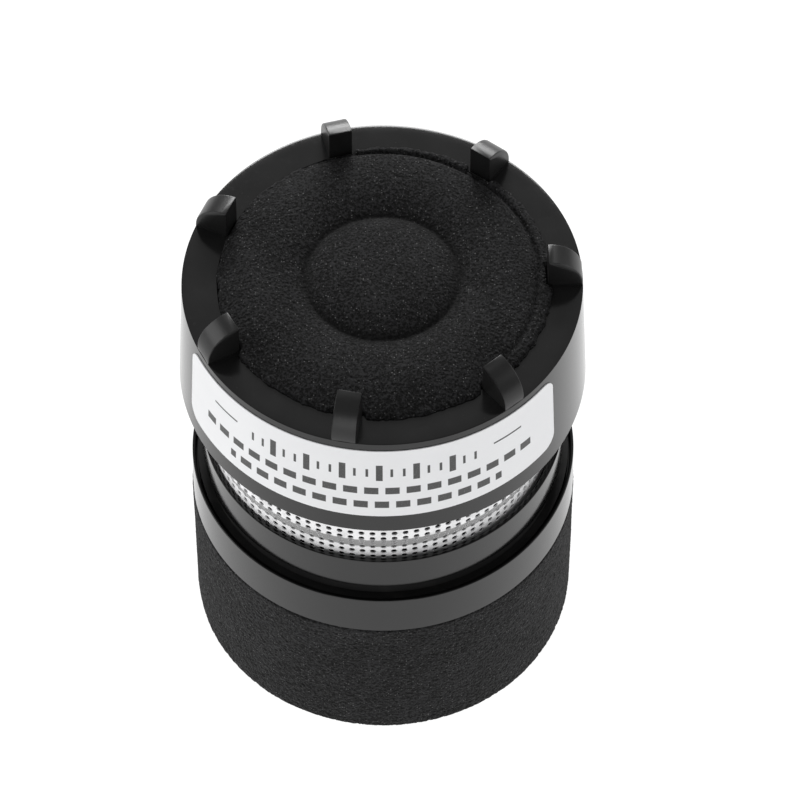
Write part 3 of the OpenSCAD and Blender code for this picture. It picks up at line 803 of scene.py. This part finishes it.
printLook = {
    "ink": 0.034, "thinInk": 0.12, "white": (0.83, 0.835, 0.845), "shadow": (0.78, 0.785, 0.80),
    "fineScale": 4.0, "cloudScale": 0.3, "patchScale": 10.0, "roughness": 0.34, "bumpMm": 0.015,
}
# lengths along the label are from its middle, and up it from its lower edge
printRule = {"from": 11.2, "to": 14.0, "low": 5.95, "high": 6.15}
printRows = {
    "longTicks": {"pitch": 3.0, "width": 0.55, "low": 4.65, "high": 6.65, "reach": 10.0},
    "shortTicks": {"pitch": 1.0, "width": 0.22, "low": 5.15, "high": 6.15, "reach": 10.0},
    "upperLine": {"pitch": 1.7, "width": 1.15, "low": 2.9, "high": 3.75, "reach": 15.0},
    "lowerLine": {"pitch": 1.7, "width": 1.15, "low": 1.1, "high": 1.95, "reach": 11.9,
                  "shift": 0.85},
}


def labelFilm(middleR):  # white film with a plain tick scale and rows of short strokes
    look = printLook
    graph = Graph("whiteFilm")
    point = graph.place()
    x, y, z = graph.axes(point)
    angle = x.maths("ARCTAN2", -1.0 * y)  # 0 towards -Y, growing towards +X
    along = (angle - math.radians(labelShape["facing"] + 90)) * middleR
    ink = printMask(along, z - labelLow.z)
    fine = graph.noise(point, look["fineScale"], 4.0, 0.6)
    cloud = graph.noise(point, look["cloudScale"], 3.0)
    patchy = graph.noise(point, look["patchScale"], 3.0, 0.7).ramp(0.25, 0.5)
    inked = ink * ((1 - look["thinInk"]) + look["thinInk"] * patchy)
    white = graph.mix(cloud, look["shadow"], look["white"])
    return graph.finish({
        "Base Color": graph.mix(inked, white, grey(look["ink"])),
        "Roughness": look["roughness"] + 0.12 * fine,
        "Normal": graph.bump(fine + cloud, look["bumpMm"], 0.3)})


def printMask(along, height):  # 1 on ink
    aside = abs(along)
    mask = band(aside, printRule["from"], printRule["to"])
    mask = mask * band(height, printRule["low"], printRule["high"])
    for row in printRows.values():
        strokes = repeated(along + row.get("shift", 0.0), row["pitch"], row["width"])
        strokes = strokes * band(height, row["low"], row["high"]) * under(aside, row["reach"])
        mask = mask.maths("MAXIMUM", strokes)
    return mask


def under(value, limit, soft=0.02):  # 1 below the limit
    return 1.0 - value.ramp(limit - soft, limit + soft)


def band(value, low, high, soft=0.02):  # 1 between low and high
    return value.ramp(low - soft, low + soft) * under(value, high, soft)


def repeated(value, pitch, width):  # 1 on strokes of that width, one each pitch
    return under(abs(value.maths("PINGPONG", pitch / 2) - pitch / 2), width / 2)


# port screen: thin bright sheet with fine round holes, stepped in towards its lower end

screenShape = {
    "holesRound": 105, "holeD": 0.51, "pitch": 0.725, "firstRowZ": 27.95, "rowsAbove": 4,
    "rowsBelow": 6, "thick": 0.12, "shiftX": -0.22, "neckR": 14.55, "neckTopZ": 25.1,
    "bandZ": 27.0, "bend": 0.25, "linesAbove": 12, "linesBelow": 9, "sharpAngle": 50.0,
    # the sheet's faces that look down get painted shade
    "look": {"tone": (0.92, 0.92, 0.93), "roughness": 0.40, "metallic": 0.12, "undersideShade": 0.30},
}


def pathSamples(points, step=0.02):  # even points along an open path, with the length to each
    made = [np.array(points[0], float)]
    for end in points[1:]:
        end = np.array(end, float)
        count = max(1, int(np.linalg.norm(end - made[-1]) / step))
        start = made[-1]
        made.extend(start + (end - start) * (k + 1) / count for k in range(count))
    made = np.array(made)
    steps = np.linalg.norm(np.diff(made, axis=0), axis=1)
    return made, np.concatenate([[0], np.cumsum(steps)])


def screenPath():  # the sheet's outer side, from its top edge down
    shape = screenShape
    wide = screenHigh.x
    return pathSamples(roundedOutline([
        (wide, screenHigh.z, 0), (wide, shape["bandZ"], shape["bend"]),
        (shape["neckR"], shape["neckTopZ"], shape["bend"]), (shape["neckR"], screenLow.z, 0)]))


def makeScreen():
    shape = screenShape
    pitch, holes, holeR = shape["pitch"], shape["holesRound"], shape["holeD"] / 2
    path, lengths = screenPath()
    total = lengths[-1]
    firstRow = screenHigh.z - shape["firstRowZ"]
    rowPlaces = [firstRow + pitch * k for k in range(-shape["rowsAbove"], shape["rowsBelow"] + 1)]
    holesFrom = rowPlaces[0] - pitch / 2
    holesTo = holesFrom + pitch * len(rowPlaces)

    def onPath(s):  # radius and height at length s down the sheet
        return np.array([np.interp(s, lengths, path[:, axis]) for axis in (0, 1)])

    def offPath(s, lift, near=0.03):  # the same, lifted off the sheet
        r, z = onPath(s)
        dr, dz = onPath(min(s + near, total)) - onPath(max(s - near, 0.0))
        size = math.hypot(dr, dz)
        return r + lift * -dz / size, z + lift * dr / size

    points, faces, known = [], [], {}

    def vertex(column, share, s, side):  # column and share give the angle
        key = (round(column + share, 5) % holes, round(s, 4), side)
        if key not in known:
            r, z = offPath(s, -shape["thick"] * side)
            a = 2 * math.pi * (column + share) / holes
            known[key] = len(points)
            points.append((r * math.cos(a) + shape["shiftX"], r * math.sin(a), z))
        return known[key]

    third = 0.5 / 3
    marks = [-0.5, -third, third]  # where the vertices stand along one edge of a hole's cell
    cell = [(m, -0.5) for m in marks] + [(0.5, m) for m in marks]
    cell += [(-m, 0.5) for m in marks] + [(-0.5, -m) for m in marks]
    for column in range(holes):
        for place in rowPlaces:
            pitchRound = 2 * math.pi * onPath(place)[0] / holes
            rims = []
            for side in (0, 1):
                outer = [vertex(column, x, place + y * pitch, side) for x, y in cell]
                rim = []
                for x, y in cell:
                    a = math.atan2(y, x)
                    rim.append(vertex(column, holeR * math.cos(a) / pitchRound,
                                      place + holeR * math.sin(a), side))
                rims.append(rim)
                for (a, b), (c, d) in neighbours(list(zip(outer, rim))):
                    faces.append([a, c, d, b] if side else [b, d, c, a])
            for (a, b), (c, d) in neighbours(list(zip(*rims))):
                faces.append([a, c, d, b])

    columns = neighbours([(c, x) for c in range(holes) for x in marks])
    for heights in (np.linspace(0, holesFrom, shape["linesAbove"]),
                    np.linspace(holesTo, total, shape["linesBelow"])):
        for side in (0, 1):
            for (c, x), (d, w) in columns:
                for s, t in zip(heights, heights[1:]):
                    faces.append([vertex(c, x, s, side), vertex(d, w, s, side),
                                  vertex(d, w, t, side), vertex(c, x, t, side)])
    for s in (0, total):
        for (c, x), (d, w) in columns:
            faces.append([vertex(c, x, s, 0), vertex(d, w, s, 0),
                          vertex(d, w, s, 1), vertex(c, x, s, 1)])
    metal = brightMetal("screenMetal", **shape["look"])
    screen = makePiece("perforatedScreen", points, faces, metal, "screen_metal",
                       shape["sharpAngle"])
    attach(screen, "transducer")
    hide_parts("port_screen")


# collar and mounting ring; taper is how much smaller the radius is at the top

collarShape = {"wall": 0.73, "boreR": 14.82, "edge": 0.06, "innerEdge": 0.05, "taper": 0.08}
ringShape = {
    "lip": 0.36, "lower": 0.22, "step": 1.3, "seatDepth": 1.3, "web": 1.3, "innerR": 13.05,
    "edge": 0.09, "innerEdge": 0.06, "seatEdge": 0.05, "taper": 0.08,
}
# the rings' faces that look up get painted shade
ringPlastic = mouldedPlastic("ringPlastic", tone=0.0025, lighter=0.0045, roughness=0.08,
                             scuffed=0.04, grain=0.10, shadedLedges=True)


def turnedRing(name, corners):
    outline = roundedOutline(corners)
    return makePiece(name, *spin(outline), ringPlastic, "ring_plastic", evenFlats=True)


def makeCollar():
    shape = collarShape
    outer, inner, edge = collarHigh.x, collarHigh.x - shape["wall"], shape["edge"]
    collar = turnedRing("collarBand", [
        (inner, collarLow.z, 0), (outer, collarLow.z, edge),
        (outer - shape["taper"], collarHigh.z, edge),
        (shape["boreR"], collarHigh.z, shape["innerEdge"]), (shape["boreR"], screenLow.z, 0),
        (inner, screenLow.z, 0)])
    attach(collar, "transducer")
    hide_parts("collar")


def makeRing():
    shape = ringShape
    outer, edge = ringHigh.x, shape["edge"]
    stepR = outer - shape["step"]
    lipR = outer - shape["lip"]
    topZ = ringHigh.z - shape["lower"]
    seatZ = ringHigh.z - shape["seatDepth"]
    webZ = seatZ - shape["web"]
    ring = turnedRing("mountRing", [
        (lipR, seatZ, shape["seatEdge"]), (lipR, topZ, shape["innerEdge"]),
        (outer - shape["taper"], topZ, edge), (outer, ringLow.z, edge), (stepR, ringLow.z, 0),
        (stepR, webZ, 0), (shape["innerR"], webZ, 0), (shape["innerR"], seatZ, 0)])
    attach(ring, "rear")
    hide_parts("mounting_ring")


# foam: a disc in the cap's mouth and a sleeve round the rear cup

# heights are over the rim, directions in degrees from +X towards +Y, and each part of the
# ragged edge has its size, depth and seed
foamDisc = {
    "domeR": 6.3, "domeTop": 1.52, "domePower": 3.2, "valley": 0.42,
    "grooveDepth": 0.06, "grooveW": 0.3, "valleyShadeIn": 0.05,
    "crown": 1.12, "crownR": 9.75, "footR": 13.45, "edge": 0.40,
    "lapR": 13.85, "lapRise": 0.44, "lapThick": 0.3, "lapGap": 0.03, "lapFrom": 56,
    "seatedR": 13.42, "seatedRise": 0.22, "seatedFacing": 154, "seatedTo": 46,
    "wallR": 13.32, "ragged": ((0.9, 0.16, 5), (0.3, 0.20, 6)), "raggedR": 13.6,
    "clawGap": 0.06, "clawFade": (0.02, 0.42),
    "creaseR": 12.75, "creaseShift": 0.32, "shiftTurn": (15, 95), "creaseDepth": 0.40,
    "creaseW": 0.25, "creaseFrom": -60, "creaseGrows": (0, 60), "creaseTo": 125,
    "creaseFades": (-10, 25),
    "overRim": 0.05, "rimGap": 0.02, "poreMm": 0.30, "pitMm": 0.05, "seed": 11,
    "gridMm": 0.112, "wayMm": 16.94, "wayShares": (0.82, 0.88, 0.90, 0.93),
    "look": {"shade": 0.77, "contrast": 1.35},
}


def smooth(value, low, high):
    share = np.clip((value - low) / (high - low), 0, 1)
    return share * share * (3 - 2 * share)


def degreesFrom(angle, towards):  # difference between two directions, -180 to 180
    return (np.degrees(angle) - towards + 180) % 360 - 180


def lapShare(angle):  # 1 where the foam's edge laps over the rim, 0 where it lies inside its seat
    shape = foamDisc
    away = np.abs(degreesFrom(angle, shape["seatedFacing"]))
    return smooth(away, shape["seatedTo"], shape["lapFrom"])


def foamEdge(angle):  # radius of the foam's edge
    shape = foamDisc
    around = np.stack([np.cos(angle), np.sin(angle), 0 * angle], -1) * shape["raggedR"]
    ragged = sum((grainAt(around, size, seed) - 0.5) * deep
                 for size, deep, seed in shape["ragged"])
    edge = shape["seatedR"] + (shape["lapR"] - shape["seatedR"]) * lapShare(angle) + ragged
    pitch = 360 / capShape["clawCount"]
    off = np.abs((np.degrees(angle) - capShape["clawStart"] + pitch / 2) % pitch - pitch / 2)
    fromClaw = np.radians(off) * shape["lapR"] - capShape["clawW"] / 2
    limit = capShape["clawIn"] - shape["clawGap"]  # the edge stops short of a claw
    beside = limit + (edge - limit) * smooth(fromClaw, *shape["clawFade"])
    return np.where(edge > limit, beside, edge)


def discTop(r, angle):  # height over the rim
    shape = foamDisc
    edgeZ = shape["seatedRise"] + (shape["lapRise"] - shape["seatedRise"]) * lapShare(angle)
    falling = np.clip((r - shape["crownR"]) / (shape["footR"] - shape["crownR"]), 0, 1.2)
    slope = shape["crown"] + (edgeZ - shape["crown"]) * falling ** 2
    rising = np.clip((r - shape["domeR"]) / (shape["crownR"] - shape["domeR"]), 0, 1)
    slope -= (shape["crown"] - shape["valley"]) * (1 - rising) ** 2  # steepest next to the dome
    groove = shape["grooveDepth"] * np.exp(-((r - shape["domeR"]) / shape["grooveW"]) ** 2)
    bulge = np.clip(1 - (r / shape["domeR"]) ** shape["domePower"], 0, 1)
    dome = (shape["domeTop"] - shape["valley"]) * bulge
    shift = smooth(np.abs(degreesFrom(angle, 0)), *shape["shiftTurn"])
    creaseR = shape["creaseR"] + shape["creaseShift"] * shift
    grown = smooth(degreesFrom(angle, shape["creaseFrom"]), *shape["creaseGrows"])
    deep = grown * smooth(-degreesFrom(angle, shape["creaseTo"]), *shape["creaseFades"])
    crease = shape["creaseDepth"] * deep * np.exp(-((r - creaseR) / shape["creaseW"]) ** 2)
    return slope - groove + dome - crease


def discGrid(count):  # a square grid bent round: each point's share of the radius, and its angle
    across = np.linspace(-1, 1, count + 1)
    a, b = (part.ravel() for part in np.meshgrid(across, across, indexing="ij"))
    wide = np.abs(a) > np.abs(b)
    safeA, safeB = np.where(a == 0, 1, a), np.where(b == 0, 1, b)
    radius = np.where(wide, a, b)
    angle = np.where(wide, math.pi / 4 * b / safeA, math.pi / 2 - math.pi / 4 * a / safeB)
    x, y = radius * np.cos(angle), radius * np.sin(angle)
    return np.hypot(x, y), np.arctan2(y, x)


def gridFaces(count):  # the grid's squares, and its border as the face that closes the underside
    row = count + 1
    faces = []
    for i in range(count):
        for k in range(i * row, i * row + count):
            faces.append([k, k + row, k + row + 1, k + 1])
    border = [i * row for i in range(count)]
    border += [count * row + j for j in range(count)]
    border += [i * row + count for i in range(count, 0, -1)]
    border += range(count, 0, -1)
    return faces + [border]


def makeFoamDisc():
    shape = foamDisc
    edge, wallR = shape["edge"], shape["wallR"]
    count = int(2 * shape["wayMm"] / shape["gridMm"]) // 2 * 2
    share, angle = discGrid(count)

    # the way from the centre over the edge down to the cloth, wayMm long, ends its stretches at
    # these shares: top, rounded edge, its side, the lap's underside; then comes the seat's wall
    topEnd, roundEnd, sideEnd, lapEnd = shape["wayShares"]
    edgeR = foamEdge(angle)
    roundR = edgeR - edge
    turn = np.clip((share - topEnd) / (roundEnd - topEnd), 0, 1) * math.pi / 2
    r = np.minimum(share / topEnd, 1) * roundR + edge * np.sin(turn)
    r += (np.minimum(edgeR, wallR) - edgeR) * smooth(share, sideEnd, lapEnd)
    edgeZ = discTop(roundR, angle) - edge
    lapZ = np.where(edgeR > wallR, np.maximum(shape["lapGap"], edgeZ - shape["lapThick"]), edgeZ)
    lowZ = np.minimum(lapZ, edgeZ)
    bottom = clothHigh.z - rimZ
    z = discTop(np.minimum(r, roundR), angle) - edge * (1 - np.cos(turn))
    z += (lowZ - edgeZ) * np.clip((share - roundEnd) / (sideEnd - roundEnd), 0, 1)
    z += (bottom - lowZ) * np.clip((share - lapEnd) / (1 - lapEnd), 0, 1)
    out = np.sin(turn)
    normal = np.stack([out * np.cos(angle), out * np.sin(angle), np.cos(turn)], -1)
    points = np.stack([r * np.cos(angle), r * np.sin(angle), z + rimZ], -1)
    depth = shape["pitMm"] * (1 - smooth(share, roundEnd, sideEnd))
    points = foamSurface(points, normal, shape["poreMm"], depth, shape["seed"])
    overRim = np.hypot(points[:, 0], points[:, 1]) > wallR + shape["overRim"]
    lowest = np.where(overRim, rimZ + shape["rimGap"], -np.inf)  # no pore cuts into the rim
    points[:, 2] = np.maximum(points[:, 2], lowest)

    # the disc's foam gets a ring of painted shade just inside the dome's edge
    foam = openFoam("discFoam", valleyShadeR=shape["domeR"] - shape["valleyShadeIn"], **shape["look"])
    disc = makePiece("foamDisc", points, gridFaces(count), foam, "foam", 180.0)
    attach(disc, "transducer")
    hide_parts("front_foam")


poreShape = {
    "mouth": (0.10, 0.62), "fineShare": 0.55, "fineDepth": 0.5, "waveMm": 3.5, "waveDepth": 0.06,
}


def foamSurface(points, normal, cell, depth, seed):  # open pores and grain, along the normal
    shape = poreShape
    pits = 1 - smooth(pitsAt(points, cell, seed), *shape["mouth"])
    fine = np.clip(pitsAt(points, cell * shape["fineShare"], seed + 7), 0, 1) - 0.5
    wave = grainAt(points, shape["waveMm"], seed + 3) - 0.5
    lift = -pits * depth + fine * depth * shape["fineDepth"]
    lift += wave * shape["waveDepth"] * (depth > 0)
    return points + normal * lift[:, None]


sleeveShape = {
    "boreR": 13.5, "edge": 0.45, "topEdge": 0.22, "topBevel": 0.07, "bulge": 0.10,
    "boreLow": 0.3, "columns": 760, "stepMm": 0.14, "poreMm": 0.30, "pitMm": 0.085, "seed": 29,
    "look": {"shade": 0.86, "contrast": 3.4, "sheen": 0.05},
}


def sleeveOutline():  # rows of radius, height and how far the surface looks outward and down
    shape = sleeveShape
    outer, top, edge = sleeveHigh.x + shape["bulge"], sleeveHigh.z, shape["edge"]
    wallSteps = int((top - edge) / shape["stepMm"])
    rows = [(outer - shape["topEdge"], top, 0, 0),
            (outer - shape["topBevel"], top - shape["topBevel"], 0, 0)]
    rows += [(outer, z, 1, 0) for z in np.linspace(top - shape["topEdge"], edge, wallSteps)]
    for a in np.linspace(0, math.pi / 2, 6)[1:]:
        out, down = math.cos(a), math.sin(a)
        rows.append((outer - edge + edge * out, edge - edge * down, out, down))
    rows += [(r, 0, 0, 1) for r in np.linspace(outer - edge, shape["boreR"], 14)[1:]]
    rows += [(shape["boreR"], z, 0, 0) for z in (shape["boreLow"], top / 2, top)]
    return rows


def makeFoamSleeve():
    shape = sleeveShape
    top = sleeveHigh.z
    outline = sleeveOutline()
    points, faces = spin([(r, z) for r, z, *_ in outline], shape["columns"])
    points = np.array(points)
    angle = np.arctan2(points[:, 1], points[:, 0])
    outward = np.repeat([row[2] for row in outline], shape["columns"])
    down = np.repeat([row[3] for row in outline], shape["columns"])
    normal = np.stack([outward * np.cos(angle), outward * np.sin(angle), -down], -1)
    belowTop = np.where(points[:, 2] > top - 0.01, 0, 1)
    depth = shape["pitMm"] * np.hypot(outward, down) * belowTop
    settled = foamSurface(points, normal, shape["poreMm"], depth, shape["seed"])
    settled[:, 2] = np.clip(settled[:, 2], 0, top)
    foam = openFoam("sleeveFoam", **shape["look"])
    sleeve = makePiece("foamSleeve", settled, faces, foam, "foam", 180.0)
    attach(sleeve, "rear")
    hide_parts("foam_sleeve")


# soft pieces inside, which in the microphone give as the transducer or the coil moves; each is a
# copy of its node with its own material

def copyOfNode(name, node, material):
    return addObject(name, nodes[node].data.copy(), material, 40.0)


def makeMount():  # a copy of the shock mount in rubber
    mount = copyOfNode("isolator", "shock_mount", blackRubber)
    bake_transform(mount)
    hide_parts("shock_mount")


def makeLead(name, node, material):  # a copy of the lead's node, with its skin
    lead = copyOfNode(name, node, material)
    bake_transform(lead)
    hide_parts(node)


def makeFilm():  # a copy of the diaphragm in polyester film; its dome rides with the coil
    film = copyOfNode("filmDiaphragm", "diaphragm", polyesterFilm)
    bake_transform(film)
    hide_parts("diaphragm")


# nodes that keep the solid's own shape
finishes = {
    "acoustic_cloth": blackCloth, "resonator_plate": housingPlastic, "diaphragm_ring": brassRing,
    "voice_coil": copperWinding, "pole_plate": platedSteel, "pole_piece": platedSteel,
    "magnet": magnetMetal, "magnet_pot": platedSteel, "damping_felt": greyFelt,
    "transducer_housing": housingPlastic, "port_cloth": blackCloth, "rear_felt": greyFelt,
    "rear_cup": housingPlastic, "terminal_board": laminate, "terminal_plus": tinnedBrass,
    "terminal_minus": tinnedBrass,
}


def finishNodes():
    for name, material in finishes.items():
        mesh = nodes[name].data
        mesh.materials.clear()
        mesh.materials.append(material)


makeCamera(Vector((0, 0, rimZ)))
makeLamps()
makeSky()
makeFloor()
print("camera and studio made")
makeCap()
print("cap made")
makeLabel()
print("label made")
makeScreen()
print("screen made")
makeCollar()
makeRing()
print("rings made")
makeFoamDisc()
makeFoamSleeve()
print("foam made")
makeMount()
makeLead("leadPlus", "lead_plus", redSkin)
makeLead("leadMinus", "lead_minus", blackSkin)
makeFilm()
finishNodes()
print("inner pieces finished")
